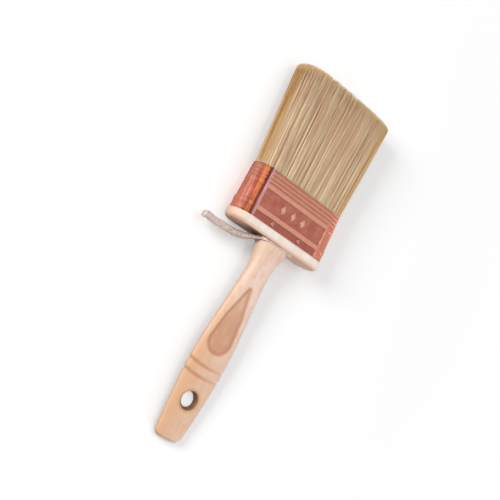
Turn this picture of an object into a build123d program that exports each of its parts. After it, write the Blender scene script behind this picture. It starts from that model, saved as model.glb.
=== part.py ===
from build123d import *
import math
import os

os.makedirs("parts", exist_ok=True)

# Where the brush lies: on its back, bristles towards +Y, front face up (mm).
AXIS_X = 8.0           # the head's middle, so that the box is centred on the origin
AXIS_Z = 12.8          # half the block's depth: it rests on the block
BASE_Y = 24.8          # lower edge of the ferrule

# Ferrule: pressed sheet, round ends, narrowing a little to its mouth
FERRULE_W = 100.0
MOUTH_W = 96.4
FERRULE_D = 23.6
FERRULE_H = 41.5
SHEET = 0.9            # over a raised rib
RELIEF = 0.4           # how far the pressed bands go in
BAND = (0.8, 6.3)
PANEL = (10.2, 25.4)
RINGS = [(29.3, 30.8), (32.6, 34.1), (35.9, 37.4), (39.2, 40.6)]
BORDER_X = 37.0
BORDER_W = 4.0
MARK_W = 5.4
MARK_H = 8.8
MARK_PITCH = 11.4
SEAM_W = 5.0
SEAM_T = 0.45

# Block
BLOCK_W = 101.2
BLOCK_D = 25.6
BLOCK_T = 8.2
PLUG_W = 95.8
PLUG_D = 21.2
PLUG_H = 14.0

# Bucket hook: a round bar, hammered flat where the handle clamps it
PLATE_T = 2.2
PLATE_W = 21.0
PLATE_LEFT = -16.0
PLATE_RIGHT = 18.5
BAR = 5.8
# distance from the middle, drop below the ferrule's edge, width, height
HOOK = [
    (-10.0, 9.3, PLATE_W, 2.1),
    (-15.0, 10.0, 16.0, 2.9),
    (-20.0, 11.7, 10.4, 4.4),
    (-25.0, 13.5, 7.2, 5.5),
    (-30.0, 15.2, 6.1, 5.9),
    (-35.0, 16.2, BAR, 5.9),
    (-42.0, 16.6, BAR, BAR),
    (-52.0, 17.0, BAR, BAR),
    (-60.0, 17.3, BAR, BAR),
    (-69.5, 17.6, BAR, BAR),
]
CLEAR_X = 15.0         # the bar keeps clear of the handle inside this
PIN_X = 11.2

# Handle
TENON_R = 7.0
TENON_L = 11.2
HANDLE_TOP = -(BLOCK_T + PLATE_T)
HANDLE_END = -183.0
# the handle leans back a little, from this at its top to this at its end
LEAN_TOP = -2.6
LEAN_END = 8.8
# distance from the ferrule's edge, width, depth
STATIONS = [
    (HANDLE_TOP, 29.0, 19.4),
    (-17.0, 26.5, 17.0),
    (-23.0, 23.6, 14.8),
    (-30.0, 22.2, 12.9),
    (-39.0, 22.8, 11.4),
    (-52.0, 25.2, 10.5),
    (-66.0, 28.0, 9.8),
    (-82.0, 31.4, 9.2),
    (-97.0, 34.0, 8.8),
    (-110.0, 35.3, 8.5),
    (-122.0, 35.4, 8.3),
    (-135.0, 34.3, 8.0),
    (-150.0, 32.2, 7.6),
    (-165.0, 29.5, 7.3),
    (-176.0, 26.9, 7.0),
    (HANDLE_END, 25.0, 6.8),
]
SECTION_POWER = 2.6
END_W = 24.6
END_D = 6.6
END_ROUND = 5.0
END_ROUND_D = 2.2
GROOVES = (-117.9, -126.9)
GROOVE_W = 3.2
GROOVE_DEPTH = 0.8
# thumb recess: the circles that it wraps round, from its round end to its tip
THUMB = [(-96.5, 12.0), (-76.0, 9.2), (-50.0, 2.4)]
THUMB_X = -1.4          # it sits a little left of the handle's middle
THUMB_DEPTH = 0.9
HOLE_Y = -147.9
HOLE_R = 6.6
HOLE_LAND = 0.8         # half the straight part of the hole
HOLE_RIM = 3.1          # how far its rim is rounded over
RIM_DROP = 1.9          # and more so on the side of the handle's end

# Handle screw
SCREW_R = 2.2
SCREW_HEAD_R = 4.4
SCREW_TIP = -38.0

# Bristle
GAP = 0.3
SET_W = 95.2
BANK_W = 94.0
BANK_D = 21.2
ROOT_W = 89.0          # between the outermost strands at the root
SET_TOP = 20.0
ROOT_TOP = 30.0
TIP_Y = 133.4
TIP_CROWN = 1.6        # how much lower the tuft is at its sides
TIP_W = 107.0
TIP_D = 25.6
SPACER = (1.9, 4.9)
PER_ROW = 36
ROWS_OUT = [5.8, 7.1, 8.4, 9.7]
ROWS_MID = [-1.2, 0.0, 1.2]


def across(y):
    """A section of the brush, y above the ferrule's lower edge."""
    return Plane(origin=(AXIS_X, BASE_Y + y, AXIS_Z), x_dir=(1, 0, 0), z_dir=(0, 1, 0))


def under(y):
    """The same section, seen from the handle's end."""
    return Plane(origin=(AXIS_X, BASE_Y + y, AXIS_Z), x_dir=(1, 0, 0), z_dir=(0, -1, 0))


def facing(z):
    """The brush seen from its front, z above its mid-plane."""
    return Plane(origin=(AXIS_X, BASE_Y, AXIS_Z + z), x_dir=(1, 0, 0), z_dir=(0, 0, 1))


def lean(y):
    """How far behind the head's mid-plane the handle's middle is."""
    share = (HANDLE_TOP - y) / (HANDLE_TOP - HANDLE_END)
    return LEAN_TOP + (LEAN_END - LEAN_TOP) * share


def outline(width, depth, inset):
    """Points round a flat oval section."""
    points = []
    for step in range(24):
        turn = math.radians(15 * step)
        u = math.copysign(abs(math.cos(turn)) ** (2 / SECTION_POWER), math.cos(turn))
        v = math.copysign(abs(math.sin(turn)) ** (2 / SECTION_POWER), math.sin(turn))
        points.append(((width / 2 - inset) * u, (depth / 2 - inset) * v))
    return points


def oval(width, depth):
    """The points of an ellipse, without the last one twice."""
    points = []
    for step in range(16):
        angle = math.radians(22.5 * step)
        points.append((width / 2 * math.cos(angle), depth / 2 * math.sin(angle)))
    return points


def handle_section(y):
    """A section of the leaning handle."""
    return Plane(
        origin=(AXIS_X, BASE_Y + y, AXIS_Z - lean(y)), x_dir=(1, 0, 0), z_dir=(0, 1, 0)
    )


# ---- handle
with BuildPart() as handle_inner:
    for place, width, depth in STATIONS:
        with BuildSketch(handle_section(place)):
            with BuildLine():
                Spline(*outline(width, depth, THUMB_DEPTH), periodic=True)
            make_face()
    loft()

with BuildPart() as thumb:
    with BuildSketch(facing(0)) as thumb_outline:
        for place, radius in THUMB:
            with Locations((THUMB_X, place)):
                Circle(radius)
        make_hull()
    extrude(amount=BLOCK_D, both=True)
    add(handle_inner.part, mode=Mode.SUBTRACT)

with BuildPart() as rings:
    for place in GROOVES:
        with BuildSketch(across(place - GROOVE_W / 2)):
            Rectangle(2 * BLOCK_D, 2 * BLOCK_D)
        extrude(amount=GROOVE_W)
    add(handle_inner.part, mode=Mode.SUBTRACT)

with BuildPart() as end_front:
    with BuildSketch(facing(0)) as end_front_outline:
        with BuildLine():
            Polyline(
                (-END_W / 2, HANDLE_END),
                (END_W / 2, HANDLE_END),
                (END_W / 2 + 5, HANDLE_END + 20),
                (FERRULE_W, HANDLE_END + 40),
                (FERRULE_W, 0),
                (-FERRULE_W, 0),
                (-FERRULE_W, HANDLE_END + 40),
                (-END_W / 2 - 5, HANDLE_END + 20),
                close=True,
            )
        make_face()
        fillet(end_front_outline.vertices().group_by(Axis.Y)[0], radius=END_ROUND)
    extrude(amount=BLOCK_D, both=True)

with BuildPart() as end_side:
    middle = AXIS_Z - lean(HANDLE_END)
    side = Plane(origin=(AXIS_X, BASE_Y, middle), x_dir=(0, 1, 0), z_dir=(1, 0, 0))
    with BuildSketch(side) as end_side_outline:
        with BuildLine():
            Polyline(
                (HANDLE_END, -END_D / 2),
                (HANDLE_END, END_D / 2),
                (HANDLE_END + 20, END_D),
                (0, 2 * BLOCK_D),
                (0, -2 * BLOCK_D),
                (HANDLE_END + 20, -END_D),
                close=True,
            )
        make_face()
        fillet(end_side_outline.vertices().group_by(Axis.X)[0], radius=END_ROUND_D)
    extrude(amount=FERRULE_W, both=True)

with BuildPart() as handle:
    for place, width, depth in STATIONS:
        with BuildSketch(handle_section(place)):
            with BuildLine():
                Spline(*outline(width, depth, 0), periodic=True)
            make_face()
    loft()
    add(end_front.part, mode=Mode.INTERSECT)
    add(end_side.part, mode=Mode.INTERSECT)
    with BuildSketch(across(HANDLE_TOP)):
        Circle(TENON_R)
    extrude(amount=TENON_L)
    add(thumb.part, mode=Mode.SUBTRACT)
    add(rings.part, mode=Mode.SUBTRACT)
    # the hanging hole, its rims rounded over
    with BuildSketch(facing(-BLOCK_D)):
        with Locations((0, HOLE_Y)):
            Circle(HOLE_R)
    extrude(amount=2 * BLOCK_D, mode=Mode.SUBTRACT)
    for sign in (1, -1):
        for bend in (0, 20, 40, 60, 90):
            out = 1 - math.cos(math.radians(bend))
            height = HOLE_LAND + HOLE_RIM * math.sin(math.radians(bend))
            with BuildSketch(facing(sign * height - lean(HOLE_Y))):
                with Locations((0, HOLE_Y - RIM_DROP * out)):
                    Circle(HOLE_R + HOLE_RIM * out)
        loft(mode=Mode.SUBTRACT)
        with BuildSketch(facing(sign * (HOLE_LAND + HOLE_RIM) - lean(HOLE_Y))):
            with Locations((0, HOLE_Y - RIM_DROP)):
                Circle(HOLE_R + HOLE_RIM)
        extrude(amount=sign * 5, mode=Mode.SUBTRACT)
    with BuildSketch(across(SCREW_TIP - GAP)):
        Circle(SCREW_R + GAP)
    extrude(amount=60, mode=Mode.SUBTRACT)
handle.part.label = "handle"
export_step(handle.part, "parts/handle.step")

# ---- head block
with BuildPart() as head_block:
    with BuildSketch(across(-BLOCK_T)):
        SlotOverall(BLOCK_W, BLOCK_D)
    extrude(amount=BLOCK_T)
    fillet(head_block.edges().group_by(Axis.Y)[0], radius=3.6)
    fillet(head_block.edges().group_by(Axis.Y)[-1], radius=1.2)
    with BuildSketch(across(0)):
        SlotOverall(PLUG_W, PLUG_D)
    extrude(amount=PLUG_H)
    with BuildSketch(across(-BLOCK_T)):
        Circle(TENON_R + GAP)
    extrude(amount=TENON_L - PLATE_T + GAP, mode=Mode.SUBTRACT)
    with Locations(across(PLUG_H)):
        CounterSinkHole(SCREW_R + GAP, SCREW_HEAD_R + GAP, counter_sink_angle=90)
    with Locations(under(-BLOCK_T)):
        with Locations((PIN_X, 0), (-PIN_X, 0)):
            Hole(0.7 + GAP, depth=13)
    for sign in (1, -1):
        with Locations(facing(sign * PLUG_D / 2)):
            with Locations((-15, 3.6), (15, 3.6)):
                Cylinder(0.7 + GAP, 14, mode=Mode.SUBTRACT)
head_block.part.label = "head_block"
export_step(head_block.part, "parts/head_block.step")

# ---- ferrule
with BuildPart() as relief_floor:
    with BuildSketch(across(0)):
        SlotOverall(FERRULE_W - 2 * RELIEF, FERRULE_D - 2 * RELIEF)
    with BuildSketch(across(FERRULE_H)):
        SlotOverall(MOUTH_W - 2 * RELIEF, FERRULE_D - 2 * RELIEF)
    loft(ruled=True)

with BuildPart() as reliefs:
    for low, high in [BAND, PANEL] + RINGS:
        with BuildSketch(across(low)):
            Rectangle(FERRULE_W + 10, FERRULE_D + 10)
        extrude(amount=high - low)
    add(relief_floor.part, mode=Mode.SUBTRACT)
    with BuildSketch(facing(0)):
        with Locations((BORDER_X, PANEL[1] / 2), (-BORDER_X, PANEL[1] / 2)):
            Rectangle(BORDER_W, PANEL[1])
    extrude(amount=FERRULE_D, both=True, mode=Mode.SUBTRACT)

with BuildPart() as ferrule:
    with BuildSketch(across(0)):
        SlotOverall(FERRULE_W, FERRULE_D)
    with BuildSketch(across(FERRULE_H)):
        SlotOverall(MOUTH_W, FERRULE_D)
    loft(ruled=True)
    add(reliefs.part, mode=Mode.SUBTRACT)
    # three plain lozenges on the panel, the lap seam behind
    with BuildSketch(facing(FERRULE_D / 2 - RELIEF - 0.1)):
        with Locations(*[(MARK_PITCH * i, sum(PANEL) / 2) for i in (-1, 0, 1)]):
            Polygon((0, MARK_H / 2), (-MARK_W / 2, 0), (0, -MARK_H / 2), (MARK_W / 2, 0))
    extrude(amount=0.45)
    with BuildSketch(facing(-FERRULE_D / 2 + SHEET)):
        with Locations((0, FERRULE_H / 2)):
            RectangleRounded(SEAM_W, FERRULE_H - 2, 1.0)
    extrude(amount=-SHEET - SEAM_T)
    # the inside
    with BuildSketch(across(0)):
        SlotOverall(FERRULE_W - 2 * SHEET, FERRULE_D - 2 * SHEET)
    with BuildSketch(across(FERRULE_H)):
        SlotOverall(MOUTH_W - 2 * SHEET, FERRULE_D - 2 * SHEET)
    loft(ruled=True, mode=Mode.SUBTRACT)
    with Locations(facing(0)):
        with Locations((-15, 3.6), (15, 3.6)):
            Cylinder(0.7 + GAP, 2 * FERRULE_D, mode=Mode.SUBTRACT)
ferrule.part.label = "ferrule"
export_step(ferrule.part, "parts/ferrule.step")

# ---- ferrule nails, one pair a face
with BuildPart() as nails_front:
    with BuildSketch(facing(FERRULE_D / 2 - RELIEF)):
        with Locations((-15, 3.6), (15, 3.6)):
            Ellipse(1.5, 2.1)
    extrude(amount=0.7)
    fillet(nails_front.faces().group_by(Axis.Z)[-1].edges(), radius=0.45)
    with BuildSketch(facing(FERRULE_D / 2 - RELIEF)):
        with Locations((-15, 3.6), (15, 3.6)):
            Circle(0.7)
    extrude(amount=-7)
nails_front.part.label = "ferrule_nails_front"
export_step(nails_front.part, "parts/ferrule_nails_front.step")

with BuildPart() as nails_back:
    with BuildSketch(facing(-FERRULE_D / 2 + RELIEF)):
        with Locations((-15, 3.6), (15, 3.6)):
            Ellipse(1.5, 2.1)
    extrude(amount=-0.7)
    fillet(nails_back.faces().group_by(Axis.Z)[0].edges(), radius=0.45)
    with BuildSketch(facing(-FERRULE_D / 2 + RELIEF)):
        with Locations((-15, 3.6), (15, 3.6)):
            Circle(0.7)
    extrude(amount=7)
nails_back.part.label = "ferrule_nails_back"
export_step(nails_back.part, "parts/ferrule_nails_back.step")

# ---- bucket hook
with BuildPart() as bucket_hook:
    for place, drop, width, height in HOOK:
        section = Plane(
            origin=(AXIS_X + place, BASE_Y - drop, AXIS_Z), x_dir=(0, 0, 1), z_dir=(-1, 0, 0)
        )
        with BuildSketch(section):
            with BuildLine():
                Spline(*oval(width, height), periodic=True)
            make_face()
    loft()
    fillet(bucket_hook.edges().group_by(Axis.X)[0], radius=1.0)
    with BuildSketch(across(-BLOCK_T)):
        with Locations(((PLATE_LEFT + PLATE_RIGHT) / 2, 0)):
            RectangleRounded(PLATE_RIGHT - PLATE_LEFT, PLATE_W, 5.0)
    extrude(amount=-PLATE_T)
    # nothing stands above or below the plate where the handle clamps it
    with BuildSketch(facing(0)):
        with Locations((0, -BLOCK_T + 5), (0, HANDLE_TOP - 5)):
            Rectangle(2 * CLEAR_X, 10)
    extrude(amount=BLOCK_D, both=True, mode=Mode.SUBTRACT)
    with BuildSketch(across(-BLOCK_T)):
        Circle(TENON_R + GAP)
    extrude(amount=-PLATE_T, mode=Mode.SUBTRACT)
    with Locations(under(HANDLE_TOP)):
        with Locations((PIN_X, 0), (-PIN_X, 0)):
            CounterSinkHole(0.7 + GAP, 1.6 + GAP, depth=PLATE_T, counter_sink_angle=90)
bucket_hook.part.label = "bucket_hook"
export_step(bucket_hook.part, "parts/bucket_hook.step")

# ---- pins that stop the hook turning
with BuildPart() as hook_pins:
    for place in (AXIS_X - PIN_X, AXIS_X + PIN_X):
        with BuildSketch(Plane(origin=(place, 0, AXIS_Z))):
            with BuildLine():
                Polyline(
                    (0, BASE_Y + HANDLE_TOP + 0.05),
                    (1.55, BASE_Y + HANDLE_TOP + 0.05),
                    (0.7, BASE_Y + HANDLE_TOP + 0.9),
                    (0.7, BASE_Y - 1.0),
                    (0, BASE_Y + 1.0),
                    close=True,
                )
            make_face()
        revolve(axis=Axis((place, 0, AXIS_Z), (0, 1, 0)))
hook_pins.part.label = "hook_pins"
export_step(hook_pins.part, "parts/hook_pins.step")

# ---- handle screw, from inside the block down into the handle
with BuildPart() as handle_screw:
    with BuildSketch(facing(0)):
        with BuildLine():
            Polyline(
                (0, PLUG_H - 0.1),
                (SCREW_HEAD_R, PLUG_H - 0.1),
                (SCREW_R, PLUG_H - 2.4),
                (SCREW_R, SCREW_TIP + 5),
                (0, SCREW_TIP),
                close=True,
            )
        make_face()
    revolve(axis=Axis((AXIS_X, BASE_Y, AXIS_Z), (0, 1, 0)))
    with BuildSketch(across(PLUG_H - 0.1)):
        Rectangle(2 * SCREW_HEAD_R, 0.9)
    extrude(amount=-0.9, mode=Mode.SUBTRACT)
handle_screw.part.label = "handle_screw"
export_step(handle_screw.part, "parts/handle_screw.step")

# ---- resin bed and spacer strips
with BuildPart() as resin_setting:
    with BuildSketch(across(PLUG_H)):
        SlotOverall(SET_W, BANK_D)
    extrude(amount=SET_TOP - PLUG_H)
resin_setting.part.label = "resin_setting"
export_step(resin_setting.part, "parts/resin_setting.step")

for name, sign in (("spacer_front", 1), ("spacer_back", -1)):
    with BuildPart() as spacer:
        with BuildSketch(across(SET_TOP)):
            with Locations((0, -sign * sum(SPACER) / 2)):
                Rectangle(BANK_W - BANK_D, SPACER[1] - SPACER[0])
        extrude(amount=ROOT_TOP - SET_TOP)
    spacer.part.label = name
    export_step(spacer.part, "parts/" + name + ".step")


# ---- bristle: each bank is one root slab with its strands
def reach(width, depth, v):
    """Half the length of a row of strands, v from the mid-plane of a round-ended tuft."""
    r = depth / 2
    return width / 2 - r + math.sqrt(max(r * r - v * v, 0))


def strand(u0, v0, u1, v1, top):
    """One straight four-sided strand, thinner at its tip."""
    with BuildPart() as hair:
        with BuildSketch(across(ROOT_TOP - 0.5)):
            with Locations((u0, v0)):
                Rectangle(1.7, 0.86)
        with BuildSketch(across(top)):
            with Locations((u1, v1)):
                Rectangle(1.3, 1.1)
        loft(ruled=True)
    return hair.part


def bank(rows, slab):
    """rows: the place of each row at its root and at its tip."""
    hairs = []
    for v0, v1 in rows:
        half0 = reach(ROOT_W, BANK_D - 1.0, v0)
        half1 = reach(TIP_W - 1.3, TIP_D - 1.1, v1)
        for i in range(PER_ROW):
            t = 2 * i / (PER_ROW - 1) - 1
            corner = max(0.0, abs(t) - 0.86) / 0.14
            drop = TIP_CROWN * abs(t) ** 3 + 3.4 * corner ** 2
            drop += 0.5 * ((7 * i + int(5 * abs(v1))) % 5) / 4
            hairs.append(strand(half0 * t, v0, half1 * t, v1, TIP_Y - drop))
    with BuildPart() as tuft:
        with BuildSketch(across(SET_TOP)):
            SlotOverall(BANK_W, BANK_D)
            with Locations((0, (slab[0] + slab[1]) / 2)):
                Rectangle(BANK_W, slab[1] - slab[0], mode=Mode.INTERSECT)
        extrude(amount=ROOT_TOP - SET_TOP)
        add(hairs)
    return tuft.part


def spread(index):
    """Where row index of eleven ends at the tip."""
    return (index - 5) * (TIP_D - 1.2) / 10


front_rows = [(-v, spread(3 - k)) for k, v in enumerate(ROWS_OUT)]
back_rows = [(v, spread(7 + k)) for k, v in enumerate(ROWS_OUT)]
middle_rows = [(v, spread(4 + k)) for k, v in enumerate(ROWS_MID)]
edge = BANK_D / 2
for name, rows, slab in (
    ("bristles_front", front_rows, (-edge, -SPACER[1])),
    ("bristles_middle", middle_rows, (-SPACER[0], SPACER[0])),
    ("bristles_back", back_rows, (SPACER[1], edge)),
):
    tuft = bank(rows, slab)
    tuft.label = name
    export_step(tuft, "parts/" + name + ".step")
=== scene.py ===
import math

import bpy
import numpy as np
from mathutils import Matrix, Vector


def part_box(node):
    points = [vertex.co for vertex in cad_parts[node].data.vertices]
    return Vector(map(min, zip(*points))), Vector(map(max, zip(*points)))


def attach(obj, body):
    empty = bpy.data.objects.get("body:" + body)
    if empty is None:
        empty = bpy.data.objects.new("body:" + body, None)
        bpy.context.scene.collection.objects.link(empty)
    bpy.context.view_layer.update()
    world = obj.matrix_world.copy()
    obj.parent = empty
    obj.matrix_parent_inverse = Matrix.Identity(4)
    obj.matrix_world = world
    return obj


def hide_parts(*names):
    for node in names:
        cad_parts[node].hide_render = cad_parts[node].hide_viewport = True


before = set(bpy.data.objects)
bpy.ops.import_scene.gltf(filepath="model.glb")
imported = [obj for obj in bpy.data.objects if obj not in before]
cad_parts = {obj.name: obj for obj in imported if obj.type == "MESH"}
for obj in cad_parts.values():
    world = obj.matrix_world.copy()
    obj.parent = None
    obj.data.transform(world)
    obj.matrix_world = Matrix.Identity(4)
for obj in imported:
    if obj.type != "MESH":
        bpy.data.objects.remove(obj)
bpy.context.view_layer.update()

MM = 0.001
RNG = np.random.default_rng(7)

# ---- where the brush lies, read from the block (mm) ----
BLOCK_T = 8.2
low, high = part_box("head_block")
AXIS_X = (low.x + high.x) / 2 / MM
AXIS_Z = (low.z + high.z) / 2 / MM
BASE_Y = low.y / MM + BLOCK_T


def place(x, y, z):
    """Brush measures (right, towards the tips, towards the front) to the row frame."""
    x, y, z = np.broadcast_arrays(x, y, z)
    return np.stack([(AXIS_X + x) * MM, (BASE_Y + y) * MM, (AXIS_Z + z) * MM], axis=-1)


# ---- shape helpers ----
def smoothstep(low, high, value):
    t = np.clip((value - low) / (high - low), 0, 1)
    return t * t * (3 - 2 * t)


def between(low, high, value, soft):
    """1 from low to high and 0 beyond them, over edges this soft."""
    rise = smoothstep(low - soft / 2, low + soft / 2, value)
    return rise * (1 - smoothstep(high - soft / 2, high + soft / 2, value))


def rounded_off(radius, distance):
    """How far an edge of this radius falls back, at a distance from its end."""
    short = np.clip(radius - distance, 0, None)
    return radius - np.sqrt(np.clip(radius**2 - short**2, 0, None))


def curve(stations, column, y):
    """A smooth curve through the stations' column."""
    ys = np.array([s[0] for s in stations])[::-1]
    vs = np.array([s[column] for s in stations])[::-1]
    slopes = np.gradient(vs, ys)
    y = np.clip(y, ys[0], ys[-1])
    i = np.clip(np.searchsorted(ys, y) - 1, 0, len(ys) - 2)
    span = ys[i + 1] - ys[i]
    t = (y - ys[i]) / span
    return (
        (2 * t**3 - 3 * t**2 + 1) * vs[i]
        + (t**3 - 2 * t**2 + t) * span * slopes[i]
        + (-2 * t**3 + 3 * t**2) * vs[i + 1]
        + (t**3 - t**2) * span * slopes[i + 1]
    )


def new_mesh(name, points, faces, floats=None):
    """A smooth mesh object from points in metres, with float attributes by point."""
    mesh = bpy.data.meshes.new(name)
    mesh.from_pydata(np.asarray(points).reshape(-1, 3).tolist(), [], faces)
    for key, values in (floats or {}).items():
        layer = mesh.attributes.new(key, "FLOAT", "POINT")
        layer.data.foreach_set("value", np.asarray(values, np.float32).ravel())
    mesh.validate()
    mesh.polygons.foreach_set("use_smooth", [True] * len(mesh.polygons))
    piece = bpy.data.objects.new(name, mesh)
    bpy.context.scene.collection.objects.link(piece)
    return piece


def ring_faces(rings, sides, joined=False):
    """Quads from ring to ring of points; the two end rings are joined, or each is capped."""
    faces = []
    for ring in range(rings if joined else rings - 1):
        a = ring * sides
        b = (ring + 1) % rings * sides
        for i in range(sides):
            j = (i + 1) % sides
            faces.append((a + i, a + j, b + j, b + i))
    if not joined:
        faces.append(tuple(reversed(range(sides))))
        faces.append(tuple(range((rings - 1) * sides, rings * sides)))
    return faces


# ---- node material helpers ----
def srgb(r, g, b):
    """An 8-bit screen colour as the linear colour that shows as it."""
    out = []
    for v in (r, g, b):
        v /= 255
        out.append(v / 12.92 if v <= 0.04045 else ((v + 0.055) / 1.055) ** 2.4)
    return (*out, 1.0)


class Tree:
    """Short calls for building the nodes of a material or of the world."""

    def __init__(self, owner, shader):
        owner.use_nodes = True
        self.owner = owner
        self.nodes = owner.node_tree.nodes
        self.links = owner.node_tree.links
        self.shader = self.nodes[shader]

    def put(self, socket, value):
        if isinstance(value, bpy.types.NodeSocket):
            self.links.new(value, socket)
        elif value is not None:
            socket.default_value = value

    def node(self, kind, inputs=None, **settings):
        made = self.nodes.new("ShaderNode" + kind)
        for key, value in settings.items():
            setattr(made, key, value)
        for key, value in (inputs or {}).items():
            self.put(made.inputs[key], value)
        return made

    def math(self, operation, a, b=None):
        return self.node("Math", {0: a, 1: b}, operation=operation).outputs[0]

    def mix(self, share, a, b):
        return self.node("Mix", {0: share, 6: a, 7: b}, data_type="RGBA").outputs[2]

    def ramp(self, value, low, high, start=0.0, end=1.0, smooth=True):
        """From start to end while the value goes from low to high."""
        inputs = {"Value": value, 1: low, 2: high, 3: start, 4: end}
        kind = "SMOOTHSTEP" if smooth else "LINEAR"
        return self.node("MapRange", inputs, interpolation_type=kind).outputs[0]

    def attribute(self, key):
        return self.node("Attribute", attribute_name=key).outputs["Fac"]

    def position(self, x=1.0, y=1.0, z=1.0):
        """Object coordinates in mm, each stretched by a factor."""
        where = self.node("TexCoord").outputs["Object"]
        scale = (x / MM, y / MM, z / MM)
        return self.node("Mapping", {"Vector": where, "Scale": scale}).outputs[0]

    def brush_place(self):
        """Brush measures in mm: to the right, and towards the tips."""
        split = self.node("SeparateXYZ", {0: self.position()})
        x = self.math("SUBTRACT", split.outputs[0], AXIS_X)
        return x, self.math("SUBTRACT", split.outputs[1], BASE_Y)

    def noise(self, where, scale, detail=3.0, rough=0.55, bend=0.0):
        inputs = {"Vector": where, "Scale": scale, "Detail": detail}
        inputs.update({"Roughness": rough, "Distortion": bend})
        return self.node("TexNoise", inputs).outputs["Fac"]

    def bump(self, height, depth, before=None):
        """Bump of a height from 0 to 1, its depth in mm."""
        inputs = {"Height": height, "Distance": depth * MM, "Strength": 1.0, "Normal": before}
        return self.node("Bump", inputs).outputs[0]

    def finish(self, color=None, roughness=None, normal=None, **fixed):
        """Fill the shader in and give back the material."""
        self.put(self.shader.inputs["Base Color"], color)
        self.put(self.shader.inputs["Roughness"], roughness)
        self.put(self.shader.inputs["Normal"], normal)
        for key, value in fixed.items():
            self.shader.inputs[key.replace("_", " ")].default_value = value
        return self.owner


def material_tree(name):
    return Tree(bpy.data.materials.new(name), "Principled BSDF")


def dress(node, material):
    """A carried-over CAD piece gets this material in each of its slots."""
    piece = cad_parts[node]
    for slot in piece.material_slots:
        slot.material = material
    for polygon in piece.data.polygons:
        polygon.use_smooth = True


def wood(name, pale, tan, fleck, tint=None, spots=0.45):
    """Wood grained along the brush: broad growth, fine fibres and short flecks."""
    tree = material_tree(name)
    fibre = tree.noise(tree.position(1.0, 0.035, 1.0), 2.6, 4.0, 0.6)
    growth = tree.noise(tree.position(1.0, 0.03, 0.6), 0.16, 2.0, 0.5, 0.6)
    flecks = tree.noise(tree.position(1.0, 0.22, 1.0), 1.6, 2.0, 0.5)
    color = tree.mix(tree.ramp(growth, 0.36, 0.62), pale, tan)
    color = tree.mix(tree.ramp(fibre, 0.50, 0.72, 0.0, 0.32), color, fleck)
    if tint is not None:
        color = tint(tree, color)
    color = tree.mix(tree.ramp(flecks, 0.60, 0.74, 0.0, spots), color, fleck)
    roughness = tree.ramp(fibre, 0.3, 0.7, 0.42, 0.58)
    bump = tree.bump(fibre, 0.05)
    bump = tree.bump(flecks, 0.03, bump)
    return tree.finish(color, roughness, bump, Specular_IOR_Level=0.4)


# ---- handle ----
HANDLE_TOP = -10.4
HANDLE_END = -183.0
LEAN_TOP = -2.6
LEAN_END = 8.8
# place, width, depth
STATIONS = [
    (HANDLE_TOP, 29.0, 19.4), (-17.0, 26.5, 17.0), (-23.0, 23.6, 14.8), (-30.0, 22.2, 12.9),
    (-39.0, 22.8, 11.4), (-52.0, 25.2, 10.5), (-66.0, 28.0, 9.8), (-82.0, 31.4, 9.2),
    (-97.0, 34.0, 8.8), (-110.0, 35.3, 8.5), (-122.0, 35.4, 8.3), (-135.0, 34.3, 8.0),
    (-150.0, 32.2, 7.6), (-165.0, 29.5, 7.3), (-176.0, 26.9, 7.0), (HANDLE_END, 25.0, 6.8),
]
SECTION_POWER = 2.6
SHOULDER_ROUND = 0.6
END_ROUND = 5.0
END_ROUND_D = 2.2
# rows of points: below the shoulder, down the handle and above the end
TOP_ROWS = (0.02, 0.25, 0.6)
ROW_STEP = 0.6
END_ROWS = (5.4, 4.8, 4.2, 3.6, 3.0, 2.4, 1.9, 1.4, 1.0, 0.65, 0.35, 0.15, 0.03)
# the domed end: share of the last row's size, height
END_DOME = ((0.75, 0.02), (0.45, 0.01), (0.15, 0.0))
HANDLE_SIDES = 160
GROOVES = (-117.9, -126.9)
GROOVE_W = 5.0
GROOVE_SAG = 1.9
GROOVE_DEPTH = 0.8
# the thumb recess wraps round three circles: place, radius
THUMB = [(-96.5, 12.0), (-76.0, 9.2), (-50.0, 2.4)]
THUMB_X = -1.4
THUMB_DEPTH = 0.9
THUMB_EDGE = 3.0
# a worn line lies this far inside the recess's outline
WORN_IN = 1.7
WORN_W = 1.4
STAIN_SOFT = 1.2
HOLE_Y = -147.9
HOLE_R = 6.6
HOLE_LAND = 0.8
HOLE_RIM = 3.1
RIM_DROP = 1.9
HOLE_SIDES = 96
CUTTER_REACH = 9.0
TENON_R = 7.0
TENON_L = 11.2
TENON_ROUND = 0.5
BORE_R = 2.5
BORE_Y = -38.3


def lean(y):
    """How far the handle's middle lies behind the head's."""
    share = (HANDLE_TOP - y) / (HANDLE_TOP - HANDLE_END)
    return LEAN_TOP + (LEAN_END - LEAN_TOP) * share


def capsule_distance(x, y, low, high):
    """Distance inside the band round two circles on the recess's middle line."""
    (y0, r0), (y1, r1) = low, high
    along = y1 - y0
    sine = (r0 - r1) / along
    cosine = math.sqrt(1 - sine * sine)
    px, py = np.abs(x), y - y0
    k = -px * sine + py * cosine
    rounded = r0 - np.hypot(px, py)
    tip = r1 - np.hypot(px, py - along)
    side = r0 - (px * cosine + py * sine)
    return np.where(k < 0, rounded, np.where(k > along * cosine, tip, side))


def thumb_distance(x, y):
    """Distance inside the drop-shaped recess, seen from the front; negative outside."""
    x = x - THUMB_X
    lower = capsule_distance(x, y, THUMB[0], THUMB[1])
    return np.maximum(lower, capsule_distance(x, y, THUMB[1], THUMB[2]))


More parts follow.
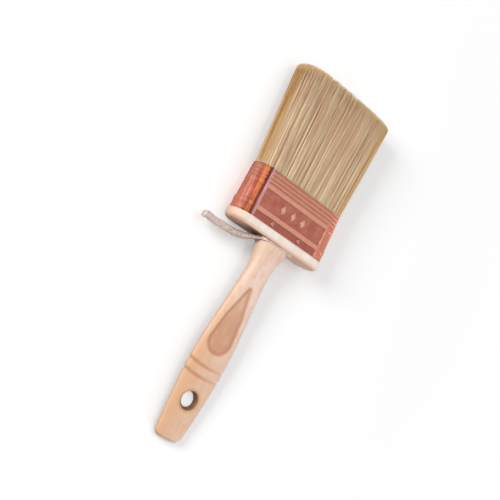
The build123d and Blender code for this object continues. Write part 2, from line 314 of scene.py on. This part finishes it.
def handle_body():
    """The handle without its hole: rings from the bore's bottom, over the tenon, to the end."""
    ys = [HANDLE_TOP - v for v in TOP_ROWS]
    stop = HANDLE_END + END_ROWS[0] + ROW_STEP
    ys += list(np.arange(HANDLE_TOP - 2 * ROW_STEP, stop, -ROW_STEP))
    ys += [HANDLE_END + v for v in END_ROWS]
    y = np.array(ys)[:, None]
    turn = np.linspace(0, 2 * np.pi, HANDLE_SIDES, endpoint=False)[None, :]
    c, s = np.cos(turn), np.sin(turn)
    shoulder = rounded_off(SHOULDER_ROUND, HANDLE_TOP - y)
    width = curve(STATIONS, 1, y) / 2 - rounded_off(END_ROUND, y - HANDLE_END) - shoulder
    depth = curve(STATIONS, 2, y) / 2 - rounded_off(END_ROUND_D, y - HANDLE_END) - shoulder
    x = width * np.sign(c) * np.abs(c) ** (2 / SECTION_POWER)
    z = depth * np.sign(s) * np.abs(s) ** (2 / SECTION_POWER)
    # the recesses go in from front and back, the grooves all round
    inside = thumb_distance(x, y + 0 * x)
    z = z - np.sign(z) * THUMB_DEPTH * smoothstep(0.0, THUMB_EDGE, inside)
    groove = np.zeros_like(x)
    for middle in GROOVES:
        sag = GROOVE_SAG * (1 - (x / width) ** 2)
        away = np.abs(y - middle + sag) / (GROOVE_W / 2)
        groove = np.maximum(groove, np.where(away < 1, 0.5 + 0.5 * np.cos(np.pi * away), 0))
    x = x * (1 - GROOVE_DEPTH * groove / width)
    z = z * (1 - GROOVE_DEPTH * groove / depth)
    tenon_top = HANDLE_TOP + TENON_L
    tenon = [
        place(radius * c, at, radius * s)
        for radius, at in (
            (BORE_R, BORE_Y), (BORE_R, tenon_top), (TENON_R - TENON_ROUND, tenon_top),
            (TENON_R, tenon_top - TENON_ROUND), (TENON_R, HANDLE_TOP),
        )
    ]
    end = [
        place(x[-1:] * share, HANDLE_END + height, z[-1:] * share - lean(HANDLE_END))
        for share, height in END_DOME
    ]
    points = np.concatenate(tenon + [place(x, y, z - lean(y))] + end)
    # where the wood is worn and stained, and where its material paints shade in the recess and
    # the grooves
    floats = {
        "recess": smoothstep(-STAIN_SOFT, STAIN_SOFT, inside),
        "rim": np.exp(-(((inside - WORN_IN) / WORN_W) ** 2)),
        "groove": groove,
    }
    added = ((len(tenon), len(end)), (0, 0))
    floats = {key: np.pad(values, added) for key, values in floats.items()}
    return new_mesh("handle_body", points, ring_faces(len(points), HANDLE_SIDES), floats)


def hole_cutter():
    """The hanging hole, its rims rounded over, more so towards the handle's end."""
    profile = [(HOLE_R, HOLE_LAND, 0.0)]
    for degrees in range(10, 100, 10):
        out = 1 - math.cos(math.radians(degrees))
        height = HOLE_LAND + HOLE_RIM * math.sin(math.radians(degrees))
        profile.append((HOLE_R + HOLE_RIM * out, height, RIM_DROP * out))
    profile.append((HOLE_R + HOLE_RIM, CUTTER_REACH, RIM_DROP))
    profile = [(r, -h, drop) for r, h, drop in reversed(profile)] + profile
    turn = np.linspace(0, 2 * np.pi, HOLE_SIDES, endpoint=False)
    rings = [
        place(r * np.cos(turn), HOLE_Y - drop + r * np.sin(turn), h - lean(HOLE_Y))
        for r, h, drop in profile
    ]
    return new_mesh("hole_cutter", rings, ring_faces(len(profile), HOLE_SIDES))


def make_handle():
    body = handle_body()
    cutter = hole_cutter()
    cut = body.modifiers.new("hole", "BOOLEAN")
    cut.object = cutter
    cut.operation = "DIFFERENCE"
    cut.solver = "EXACT"
    bpy.context.view_layer.update()
    graph = bpy.context.evaluated_depsgraph_get()
    result = bpy.data.meshes.new_from_object(body.evaluated_get(graph))
    body.modifiers.clear()
    old = body.data
    body.data = result
    bpy.data.meshes.remove(old)
    bpy.data.objects.remove(cutter)
    return body


def handle_tint(tree, color):
    """Warmer towards the end and the left edge; a stained recess in painted shade with a worn
    line inside its outline, painted shade in the grooves, a painted highlight on the hanging
    hole's rim and painted shade inside the hole.
    """
    x, y = tree.brush_place()
    cloud = tree.noise(tree.position(1.0, 0.4, 1.0), 0.22, 3.0, 0.6)
    color = tree.mix(tree.ramp(y, -70.0, -130.0, 0.0, 0.75), color, srgb(222, 183, 154))
    lower = tree.ramp(y, -30.0, -110.0, 0.0, 0.72)
    side = tree.math("MULTIPLY", lower, tree.ramp(x, 8.0, -14.0, 0.0, 0.9))
    color = tree.mix(side, color, srgb(220, 168, 124))
    color = tree.mix(tree.ramp(cloud, 0.46, 0.66, 0.0, 0.35), color, srgb(212, 166, 136))
    # the recess is stained and painted in shade, more so towards the end, and worn inside its
    # outline
    stain_and_shade = tree.math("MULTIPLY", tree.attribute("recess"), tree.ramp(cloud, 0.3, 0.6, 0.7, 0.9))
    deep = tree.ramp(y, -58.0, -82.0)
    color = tree.mix(stain_and_shade, color, tree.mix(deep, srgb(216, 172, 144), srgb(202, 148, 115)))
    darkening = tree.math("MULTIPLY", tree.attribute("rim"), 0.6)
    color = tree.mix(darkening, color, srgb(180, 118, 84))
    # painted shade in the grooves, stronger towards the left
    groove_shade = tree.math("MULTIPLY", tree.attribute("groove"), tree.ramp(x, 18.0, -6.0, 0.3, 0.8))
    color = tree.mix(groove_shade, color, srgb(194, 134, 96))
    # round the hanging hole: a painted highlight on its rounded rim, and painted shade inside it
    along = tree.math("SUBTRACT", y, HOLE_Y - 0.6)
    reach = tree.math("SQRT", tree.math("ADD", tree.math("POWER", x, 2.0),
                                        tree.math("POWER", along, 2.0)))
    color = tree.mix(tree.ramp(reach, 11.4, 9.0, 0.0, 0.7), color, srgb(214, 158, 104))
    return tree.mix(tree.ramp(reach, 9.2, 7.2, 0.0, 0.95), color, srgb(100, 62, 46))


beech = wood(
    "beech", srgb(238, 210, 195), srgb(228, 194, 172), srgb(196, 146, 108), handle_tint
)
handle = make_handle()
handle.data.materials.clear()
handle.data.materials.append(beech)
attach(handle, "root")
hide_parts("handle")

# ---- ferrule ----
FERRULE_W = 100.0
MOUTH_W = 96.4
FERRULE_D = 23.6
FERRULE_H = 41.5
SHEET = 0.9
# the inside opens out a little towards the mouth
FLARE = 0.2
FLARE_H = 6.0
RELIEF = 0.5
RELIEF_SOFT = 0.32
BAND = (0.8, 6.3)
PANEL = (10.2, 25.4)
RINGS = [(29.3, 30.8), (32.6, 34.1), (35.9, 37.4), (39.2, 40.6)]
BORDER_X = 37.0
BORDER_W = 4.0
MARK_W = 5.4
MARK_H = 8.8
MARK_PITCH = 11.4
MARK_RAISE = 0.35
MARK_EDGE = (0.86, 1.06)
SEAM_W = 5.0
SEAM_T = 0.45
SEAM_SOFT = 0.4
LIP = 0.35
LIP_H = 0.45
WAVE = 0.035
# how finely the mesh is divided
FERRULE_ROWS = 150
LIP_ROWS = np.array([0.15, 0.4])
FRONT_COLUMNS = 150
BACK_COLUMNS = 90
SEAM_COLUMNS = 33
END_STEPS = 80


def ferrule_half(y):
    """Half the ferrule's width at this height."""
    return (FERRULE_W + (MOUTH_W - FERRULE_W) * y / FERRULE_H) / 2


def ferrule_columns():
    """Each column's place along the straight side, from -1 to 1, and the angle it faces."""
    straight = (FERRULE_W - FERRULE_D) / 2
    # columns at both edges of the borders too, though the outer one is just past the straight
    edges = np.array([BORDER_X - BORDER_W / 2, BORDER_X + BORDER_W / 2]) / straight
    front = np.unique(np.concatenate([np.linspace(-1, 1, FRONT_COLUMNS), -edges, edges]))
    over_seam = 4.0 / straight
    back = np.unique(np.concatenate([
        np.linspace(-1, 1, BACK_COLUMNS), np.linspace(-over_seam, over_seam, SEAM_COLUMNS),
    ]))
    arc = np.linspace(0, np.pi, END_STEPS)[1:-1]
    along = np.concatenate([front, np.ones_like(arc), back[::-1], -np.ones_like(arc)])
    angle = np.concatenate([
        np.full_like(front, np.pi / 2), np.pi / 2 - arc,
        np.full_like(back, -np.pi / 2), -np.pi / 2 - arc,
    ])
    return along[None, :], angle[None, :]


def make_ferrule():
    along, angle = ferrule_columns()
    rows = np.linspace(0.0, FERRULE_H, FERRULE_ROWS)
    rows = np.concatenate([rows, LIP_ROWS, FERRULE_H - LIP_ROWS])
    y = np.unique(np.round(rows, 3))[:, None]
    radius = FERRULE_D / 2
    nx, nz = np.cos(angle), np.sin(angle)
    x0 = along * (ferrule_half(y) - radius)
    sunk = np.zeros_like(x0)
    for low, high in [BAND, PANEL] + RINGS:
        sunk = np.maximum(sunk, between(low, high, y, RELIEF_SOFT))
    # a raised border near each end crosses the band and the panel
    face = smoothstep(0.7, 1.0, np.abs(nz))
    round_the_end = radius * np.arccos(np.clip(np.abs(nz), 0, 1))
    x_round = np.abs(x0) + round_the_end
    border = between(BORDER_X - BORDER_W / 2, BORDER_X + BORDER_W / 2, x_round, RELIEF_SOFT)
    border = border * (1 - smoothstep(PANEL[1], PANEL[1] + RELIEF_SOFT, y))
    sunk = sunk * (1 - border)
    # the relief turns shallower round the ends
    depth = RELIEF * sunk * (0.6 + 0.4 * face)
    # marks on the front panel
    marks = np.zeros_like(depth)
    mark_y = sum(PANEL) / 2
    for k in (-1, 0, 1):
        reach = np.abs(x0 - MARK_PITCH * k) / (MARK_W / 2) + np.abs(y - mark_y) / (MARK_H / 2)
        marks = np.maximum(marks, 1 - smoothstep(*MARK_EDGE, reach))
    marks = marks * (nz > 0.999)
    depth = depth - MARK_RAISE * marks
    # the lap seam down the middle of the back
    seam = between(-SEAM_W / 2, SEAM_W / 2, x0, SEAM_SOFT) * (nz < -0.999)
    depth = depth * (1 - seam) - SEAM_T * seam
    # both edges of the sheet are slightly rounded
    depth = depth + LIP * (1 - smoothstep(0, LIP_H, y))
    depth = depth + LIP * smoothstep(FERRULE_H - LIP_H, FERRULE_H, y)
    # a hand-held sheet is never quite even
    depth = depth + WAVE * np.sin(x0 / 5.3 + 1.1) * np.sin(y / 7.1 + 0.4) * face
    outer = place(x0 + (radius - depth) * nx, y, (radius - depth) * nz)
    inner = []
    for at, flare in ((FERRULE_H, FLARE), (FERRULE_H - FLARE_H, 0.0), (0.0, 0.0)):
        r = radius - SHEET + flare
        inner.append(place(along * (ferrule_half(at) - radius) + r * nx, at, r * nz))
    points = np.concatenate([outer] + inner)
    added = ((0, len(inner)), (0, 0))
    floats = {"raised": np.pad(1 - sunk, added), "mark": np.pad(marks, added)}
    faces = ring_faces(len(points), along.size, joined=True)
    return new_mesh("ferrule_shell", points, faces, floats)


# painted reflections streak the left end, from its tip inwards: share of the way, colour
PAINTED_REFLECTIONS = [
    (0.00, (214, 122, 94)), (0.10, (200, 138, 120)), (0.19, (182, 134, 116)),
    (0.27, (150, 92, 76)), (0.37, (146, 84, 66)), (0.44, (226, 140, 90)),
    (0.60, (232, 142, 86)), (0.66, (120, 60, 54)), (0.78, (118, 58, 58)),
    (0.83, (216, 164, 164)), (0.98, (222, 166, 160)),
]


def coppered():
    """Copper-plated sheet, darker where it is pressed in, with painted reflections streaked at
    its left end and a right end painted lighter.
    """
    tree = material_tree("coppered_sheet")
    x, y = tree.brush_place()
    cloud = tree.noise(tree.position(), 0.12, 3.0, 0.6)
    polish = tree.noise(tree.position(0.06, 1.0, 0.06), 3.2, 3.0, 0.6)
    # stained dark in the pressed fields of both faces
    dark = tree.mix(tree.ramp(cloud, 0.35, 0.65), srgb(190, 118, 100), srgb(180, 106, 90))
    dark = tree.mix(tree.ramp(y, 26.0, 29.0), dark, srgb(204, 132, 111))
    dark = tree.mix(tree.ramp(y, 8.0, 7.0), dark, srgb(172, 100, 84))
    color = tree.mix(tree.attribute("raised"), dark, srgb(222, 156, 134))
    # one end is painted a clear, lighter salmon in place of its reflection; the other has painted
    # reflections in lengthwise streaks
    color = tree.mix(tree.ramp(x, 34.9, 35.4), color, srgb(224, 152, 128))
    painted_streaks = tree.node("ValToRGB", {0: tree.ramp(x, -50.0, -35.0, 0.0, 1.0, False)})
    stops = painted_streaks.color_ramp.elements
    for share, tone in PAINTED_REFLECTIONS:
        stops.new(share).color = srgb(*tone)
    stops.remove(stops[-1])
    stops.remove(stops[0])
    at_end = tree.math("MULTIPLY", tree.ramp(x, -34.8, -35.3), 0.9)
    color = tree.mix(at_end, color, painted_streaks.outputs[0])
    # dark lengthwise streaks at the far left end are painted reflection, broken up by noise
    darkening = tree.noise(tree.position(1.0, 0.05, 1.0), 0.8, 3.0, 0.6)
    far_end = tree.ramp(x, -39.5, -42.0, 0.0, 0.7)
    share = tree.math("MULTIPLY", far_end, tree.ramp(darkening, 0.44, 0.62))
    color = tree.mix(share, color, srgb(158, 76, 56))
    color = tree.mix(tree.attribute("mark"), color, srgb(222, 174, 156))
    color = tree.mix(tree.ramp(polish, 0.4, 0.75, 0.0, 0.22), color, srgb(120, 60, 48))
    # the round ends are duller
    ends = tree.ramp(tree.math("ABSOLUTE", x), 34.0, 37.5, 0.0, 0.3)
    roughness = tree.math("ADD", tree.ramp(cloud, 0.3, 0.7, 0.26, 0.38), ends)
    return tree.finish(color, roughness, tree.bump(polish, 0.012), Metallic=1.0)


ferrule = make_ferrule()
ferrule.data.materials.append(coppered())
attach(ferrule, "root")
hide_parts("ferrule")


# ---- hook, pins, screw and nails, on their CAD nodes ----
def metal(name, light, dark, rough_low, rough_high, grain, metallic=1.0):
    """Plain mottled metal."""
    tree = material_tree(name)
    spangle = tree.node("TexVoronoi", {"Vector": tree.position(), "Scale": grain})
    cloud = tree.noise(tree.position(), 0.5, 4.0, 0.6)
    share = tree.math("ADD", spangle.outputs["Distance"], cloud)
    color = tree.mix(tree.ramp(share, 0.5, 1.2), dark, light)
    roughness = tree.ramp(cloud, 0.3, 0.7, rough_low, rough_high)
    return tree.finish(color, roughness, tree.bump(cloud, 0.03), Metallic=metallic)


galvanised = metal(
    "galvanised", srgb(220, 200, 191), srgb(178, 157, 152), 0.56, 0.7, 0.5, metallic=0.45
)
steel = metal("steel", srgb(186, 172, 156), srgb(140, 130, 116), 0.45, 0.6, 2.6)
nail = metal("nail", srgb(196, 150, 136), srgb(166, 122, 108), 0.45, 0.6, 2.6)
dress("bucket_hook", galvanised)
dress("hook_pins", steel)
dress("handle_screw", steel)
dress("ferrule_nails_front", nail)
dress("ferrule_nails_back", nail)


# ---- block, resin and spacers, on their CAD nodes ----
def block_tint(tree, color):
    """Warmer to the left; its underside painted in shade, darkest along the hook."""
    x, y = tree.brush_place()
    color = tree.mix(tree.ramp(y, -4.6, -7.6), color, srgb(238, 196, 168))
    color = tree.mix(tree.ramp(x, -36.0, -49.0, 0.0, 0.75), color, srgb(214, 174, 144))
    # painted shade on the underside, darkest left of the handle where the handle and hook shade
    # it, lighter again at the far left
    underside_shade = tree.mix(tree.ramp(x, 4.0, -16.0), srgb(232, 190, 168), srgb(112, 74, 56))
    underside_shade = tree.mix(tree.ramp(x, -24.0, -46.0), underside_shade, srgb(228, 172, 136))
    return tree.mix(tree.ramp(y, -7.5, -8.15), color, underside_shade)


def cast_resin():
    tree = material_tree("cast_resin")
    swirl = tree.noise(tree.position(), 0.3, 3.0, 0.5, 0.8)
    color = tree.mix(tree.ramp(swirl, 0.3, 0.7), srgb(190, 160, 104), srgb(150, 118, 70))
    return tree.finish(color, tree.ramp(swirl, 0.3, 0.7, 0.15, 0.3), tree.bump(swirl, 0.05))


block_wood = wood(
    "block_wood", srgb(240, 231, 223), srgb(232, 217, 204), srgb(208, 180, 156), block_tint, 0.2
)
spacer_wood = wood("spacer_wood", srgb(214, 186, 146), srgb(196, 162, 120), srgb(156, 118, 80))
dress("head_block", block_wood)
dress("resin_setting", cast_resin())
dress("spacer_front", spacer_wood)
dress("spacer_back", spacer_wood)

# ---- bristle ----
ROOT_Y = 21.0
TIP_Y = 133.35
TIP_CROWN = 1.6
# half the tuft's width and depth
ROOT_HALF = (46.0, 10.2)
TIP_HALF = (53.3, 12.6)
ROWS = 25
PER_ROW = 176
BANK_EDGE = 0.36
LOCKS = 46
LOCK_PULL = 0.09
# the tips fall away over the last share of the width, more on the left (mm)
CORNER_SHARE = 0.14
CORNER_DROP_LEFT = 3.4
CORNER_DROP_RIGHT = 1.6
# spread of the tips as fractions, of their height and of the strands' bow (mm)
STRAY_U, STRAY_V = 0.006, 0.035
UNEVEN = 0.4
BOW_X, BOW_Z = 0.35, 0.25
STRAND_R = 0.30
STRAND_STEPS = 6
STRAND_SIDES = 3
UP_STRAND = np.linspace(0, 1, STRAND_STEPS + 1)


def tuft_points():
    """Places in a tuft, as fractions of half its width and depth."""
    out = []
    for r in range(ROWS):
        v = (r + 0.5) / ROWS * 2 - 1
        for c in range(PER_ROW):
            u = (c + 0.5 + 0.5 * (r % 2) - 0.25) / PER_ROW * 2 - 1
            out.append((u, v))
    u, v = np.array(out).T
    u = u + RNG.normal(0, 0.35 / PER_ROW * 2, len(out))
    v = v + RNG.normal(0, 0.28 / ROWS * 2, len(out))
    return u, np.clip(v, -1, 1)


def in_tuft(u, v, half):
    """Such places to mm inside a round-ended outline."""
    w, d = half
    z = np.clip(v, -1, 1) * d
    reach = w - d + np.sqrt(np.clip(d * d - z * z, 0, None))
    return np.clip(u, -1, 1) * reach, z


def strand_faces(count):
    """Faces of closed strands: their sides, tips and roots."""
    ring = STRAND_SIDES
    root = np.arange(count) * (STRAND_STEPS + 1) * ring
    start = root[:, None, None] + (np.arange(STRAND_STEPS) * ring)[None, :, None]
    side = np.arange(ring)[None, None, :]
    a = start + side
    b = start + (side + 1) % ring
    quads = np.stack([a + ring, b + ring, b, a], axis=-1).reshape(-1, 4)
    tip = root + STRAND_STEPS * ring
    tips = tip[:, None] + np.arange(ring)[::-1]
    roots = root[:, None] + np.arange(ring)
    return quads.tolist() + tips.tolist() + roots.tolist()


def strand_points(u, v):
    """Tapering strands that grow at these places: strand, step, corner, xyz."""
    count = len(u)
    x0, z0 = in_tuft(u, v, ROOT_HALF)
    # strands gather a little into locks towards their tips
    lock_u = np.sort(RNG.uniform(-1, 1, LOCKS))
    nearest = lock_u[np.argmin(np.abs(u[:, None] + 0.02 * v[:, None] - lock_u[None, :]), axis=1)]
    tip_u = u * (1 - LOCK_PULL) + nearest * LOCK_PULL + RNG.normal(0, STRAY_U, count)
    tip_v = v + RNG.normal(0, STRAY_V, count)
    x1, z1 = in_tuft(tip_u, tip_v, TIP_HALF)
    corner = np.clip(np.abs(u) - 1 + CORNER_SHARE, 0, None) / CORNER_SHARE
    drop = np.where(u < 0, CORNER_DROP_LEFT, CORNER_DROP_RIGHT) * corner**2.2
    drop = drop + TIP_CROWN * np.abs(u) ** 3 + 0.4 * np.abs(v) ** 3
    top = TIP_Y - drop - np.abs(RNG.normal(0, UNEVEN, count))
    # each strand bows a little on its way up
    t = UP_STRAND[None, :]
    bow = 4 * t * (1 - t)
    bow_x = RNG.normal(0, BOW_X, count)[:, None] * bow
    bow_z = RNG.normal(0, BOW_Z, count)[:, None] * bow
    x = x0[:, None] + (x1 - x0)[:, None] * t + bow_x
    z = z0[:, None] + (z1 - z0)[:, None] * t + bow_z
    y = ROOT_Y + (top - ROOT_Y)[:, None] * t
    limit_x = ROOT_HALF[0] + (TIP_HALF[0] - ROOT_HALF[0]) * t
    limit_z = ROOT_HALF[1] + (TIP_HALF[1] - ROOT_HALF[1]) * t
    x = np.clip(x, -limit_x, limit_x)
    z = np.clip(z, -limit_z, limit_z)
    radius = STRAND_R - 0.06 * t - 0.13 * t**6
    radius = radius * RNG.uniform(0.85, 1.15, count)[:, None]
    turn = RNG.uniform(0, 2 * np.pi, count)[:, None]
    corners = []
    for k in range(STRAND_SIDES):
        a = turn + 2 * np.pi * k / STRAND_SIDES
        corners.append(place(x + radius * np.cos(a), y, z + radius * np.sin(a)))
    return np.stack(corners, axis=2)


def make_bristle():
    """The three banks of strands, each with the CAD node that it replaces."""
    u, v = tuft_points()
    points = strand_points(u, v)
    tone = RNG.uniform(0, 1, len(u))
    # how near the tuft's side a strand grows, from the front as well on the right
    from_middle = np.abs(in_tuft(u, v, ROOT_HALF)[0]) / ROOT_HALF[0]
    edge = np.where(u < 0, from_middle, np.clip(np.abs(u), 0, 1))
    pieces = []
    for name, node, keep in (
        ("bristle_front", "bristles_front", v > BANK_EDGE),
        ("bristle_middle", "bristles_middle", np.abs(v) <= BANK_EDGE),
        ("bristle_back", "bristles_back", v < -BANK_EDGE),
    ):
        strands = points[keep]
        every = np.ones(strands.shape[:3])
        floats = {
            "tone": tone[keep][:, None, None] * every,
            "edge": edge[keep][:, None, None] * every,
            "along": UP_STRAND[None, :, None] * every,
        }
        piece = new_mesh(name, strands, strand_faces(len(strands)), floats)
        pieces.append((piece, node))
    return pieces


def bristle_material():
    """Pale bristle in streaks, with browner teeth below a golden edge of tips."""
    tree = material_tree("hog_bristle")
    tone = tree.attribute("tone")
    edge = tree.attribute("edge")
    along = tree.attribute("along")
    x, y = tree.brush_place()
    # streaks fan out with the tuft
    fan = tree.ramp(y, FERRULE_H, TIP_Y, 1.0, 1.12, False)
    split = tree.node("SeparateXYZ", {0: tree.position()})
    where = tree.node("CombineXYZ", {
        0: tree.math("DIVIDE", split.outputs[0], fan),
        1: tree.math("MULTIPLY", split.outputs[1], 0.03),
        2: tree.math("MULTIPLY", split.outputs[2], 0.35),
    }).outputs[0]
    streak = tree.noise(where, 0.36, 3.0, 0.65)
    fine = tree.noise(where, 1.3, 2.0, 0.6)
    # the darker streaks are partly the bristle's own tone and partly painted shade between its
    # locks
    color = tree.mix(tree.ramp(streak, 0.40, 0.60), srgb(224, 184, 146), srgb(240, 218, 182))
    color = tree.mix(tree.ramp(fine, 0.54, 0.74, 0.0, 0.4), color, srgb(202, 152, 116))
    teeth = tree.noise(where, 0.75, 2.0, 0.6)
    upper = tree.math("MULTIPLY", tree.ramp(along, 0.5, 0.86), tree.ramp(along, 0.965, 0.93))
    brown = tree.math("MULTIPLY", upper, tree.ramp(teeth, 0.56, 0.42, 0.0, 0.55))
    brown = tree.math("MULTIPLY", brown, tree.ramp(x, -10.0, 40.0, 0.9, 0.3))
    color = tree.mix(brown, color, srgb(202, 150, 114))
    # paler to the upper right
    paler = tree.math("MULTIPLY", tree.ramp(along, 0.6, 0.85),
                      tree.ramp(x, -20.0, 30.0, 0.0, 0.45))
    color = tree.mix(paler, color, srgb(250, 222, 180))
    # single strands differ
    color = tree.mix(tree.ramp(tone, 0.0, 0.3, 0.3, 0.0), color, srgb(184, 136, 102))
    color = tree.mix(tree.ramp(tone, 0.7, 1.0, 0.0, 0.4), color, srgb(250, 234, 206))
    # golden sides and tips, greenish where it leaves the ferrule
    golden = tree.mix(tree.ramp(x, -38.0, -44.0), srgb(236, 196, 136), srgb(206, 162, 98))
    color = tree.mix(tree.ramp(edge, 0.92, 0.98, 0.0, 0.8), color, golden)
    color = tree.mix(tree.ramp(along, 0.94, 0.98, 0.0, 0.75), color, srgb(246, 208, 150))
    color = tree.mix(tree.ramp(along, 0.23, 0.185, 0.0, 0.6), color, srgb(216, 208, 164))
    return tree.finish(color, 0.5, None, Specular_IOR_Level=0.3)


hair = bristle_material()
for piece, node in make_bristle():
    piece.data.materials.append(hair)
    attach(piece, "root")
    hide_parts(node)

# ---- floor ----
FLOOR_HALF = 3.0              # metres
FLOOR_COLOR = (0.88, 0.88, 0.88, 1.0)
FLOOR_BOUNCE = (0.2, 0.2, 0.2, 1.0)
BLACK = (0.0, 0.0, 0.0, 1.0)
FLOOR_LIFT = 0.13
# the floor turns plain white between these distances (mm)
WHITE_FROM, WHITE_AT = 160.0, 330.0
# the camera sees this place through the hanging hole: a painted pool of light on the floor in the
# handle's shadow, so that it shows white (mm)
BELOW_HOLE = (4.3, HOLE_Y + 1.4)
PAINTED_HOLE_LIGHT = 0.32


def make_floor():
    half = FLOOR_HALF
    corners = [(-half, -half, 0), (half, -half, 0), (half, half, 0), (-half, half, 0)]
    piece = new_mesh("floor", corners, [(0, 1, 2, 3)])
    tree = material_tree("floor_white")
    # it throws little light back, and shows white where nothing shades it and far away
    path = tree.node("LightPath")
    seen = tree.math("MAXIMUM", path.outputs["Is Camera Ray"], path.outputs["Is Glossy Ray"])
    seen = tree.math("MAXIMUM", seen, path.outputs["Is Transmission Ray"])
    reach = tree.node("VectorMath", {0: tree.position(1.0, 0.75, 0.0)}, operation="LENGTH")
    far = tree.ramp(reach.outputs["Value"], WHITE_FROM, WHITE_AT)
    color = tree.mix(seen, FLOOR_BOUNCE, tree.mix(far, FLOOR_COLOR, BLACK))
    tree.finish(color, 0.9, None, Specular_IOR_Level=0.0)
    lift = tree.ramp(far, 0.0, 1.0, FLOOR_LIFT, 1.0, False)
    # a painted pool of light below the hanging hole, in the handle's shadow
    hole = (AXIS_X + BELOW_HOLE[0], BASE_Y + BELOW_HOLE[1], 0.0)
    away = tree.node("VectorMath", {0: tree.position(), 1: hole}, operation="DISTANCE")
    lift = tree.math("ADD", lift, tree.ramp(away.outputs["Value"], 8.6, 6.4, 0.0, PAINTED_HOLE_LIGHT))
    strength = tree.math("MULTIPLY", seen, lift)
    glow = tree.node("Emission", {"Color": (1, 1, 1, 1), "Strength": strength})
    both = tree.node("AddShader", {0: tree.shader.outputs[0], 1: glow.outputs[0]})
    tree.put(tree.nodes["Material Output"].inputs[0], both.outputs[0])
    piece.data.materials.append(tree.owner)


make_floor()

# ---- light ----
BRIGHT_SIDE = Vector((0.5, 0.8, 0.3)).normalized()
WORLD_DARKEST, WORLD_BRIGHTEST = 0.02, 0.74


def make_world():
    """Soft white all round, brightest from the right and above the bristles."""
    world = bpy.data.worlds.new("studio")
    bpy.context.scene.world = world
    tree = Tree(world, "Background")
    where = tree.node("TexCoord").outputs["Generated"]
    toward = tree.node("VectorMath", {0: where, 1: BRIGHT_SIDE}, operation="DOT_PRODUCT")
    level = tree.ramp(
        toward.outputs["Value"], -1.0, 1.0, WORLD_DARKEST, WORLD_BRIGHTEST, False
    )
    # the camera sees it white
    seen = tree.node("LightPath").outputs["Is Camera Ray"]
    tree.put(tree.shader.inputs["Color"], (1, 1, 1, 1))
    tree.put(tree.shader.inputs["Strength"], tree.math("MAXIMUM", level, seen))


make_world()


def lamp(name, direction, distance, size, power):
    """A soft square lamp that looks at the middle of the brush."""
    data = bpy.data.lights.new(name, "AREA")
    data.shape = "SQUARE"
    data.size = size
    data.energy = power
    piece = bpy.data.objects.new(name, data)
    aim = Vector(direction).normalized()
    piece.location = aim * distance
    piece.rotation_euler = aim.to_track_quat("Z", "Y").to_euler()
    bpy.context.scene.collection.objects.link(piece)


lamp("key", (-0.88, 0.11, 0.41), 1.3, 0.5, 13.8)
lamp("front", (-0.55, -0.1, 0.82), 1.5, 0.3, 3.0)
lamp("over", (-0.06, 0.18, 0.98), 1.3, 0.15, 1.0)
lamp("top", (0.5, 0.2, 0.85), 1.6, 1.2, 1.6)
lamp("low", (0.85, -0.5, 0.14), 1.3, 0.3, 8.0)

# ---- camera, at the photograph's viewing angle ----
TURN = math.radians(34.13)
TILT = math.radians(-10.12)
ROLL = math.radians(26.96)
FOCAL = 1003.2 / 500          # in frame widths
SENSOR = 36.0
DISTANCE = 798.1
AIM = (-15.35, -21.54, 0.0)   # brush measures

back = Vector((-math.sin(TURN) * math.cos(TILT), math.sin(TILT), math.cos(TURN) * math.cos(TILT)))
right = (-back).cross(Vector((0, 1, 0))).normalized()
up = right.cross(-back)
across = right * math.cos(ROLL) + up * math.sin(ROLL)
upward = up * math.cos(ROLL) - right * math.sin(ROLL)
aim = Vector(place(*AIM).tolist())
camera_data = bpy.data.cameras.new("camera")
camera_data.sensor_width = SENSOR
camera_data.lens = FOCAL * SENSOR
camera_data.clip_start = 0.05
camera = bpy.data.objects.new("camera", camera_data)
turned = Matrix((across, upward, back)).transposed().to_4x4()
turned.translation = aim + back * DISTANCE * MM
camera.matrix_world = turned
bpy.context.scene.collection.objects.link(camera)
bpy.context.scene.camera = camera
bpy.context.scene.view_settings.view_transform = "Standard"
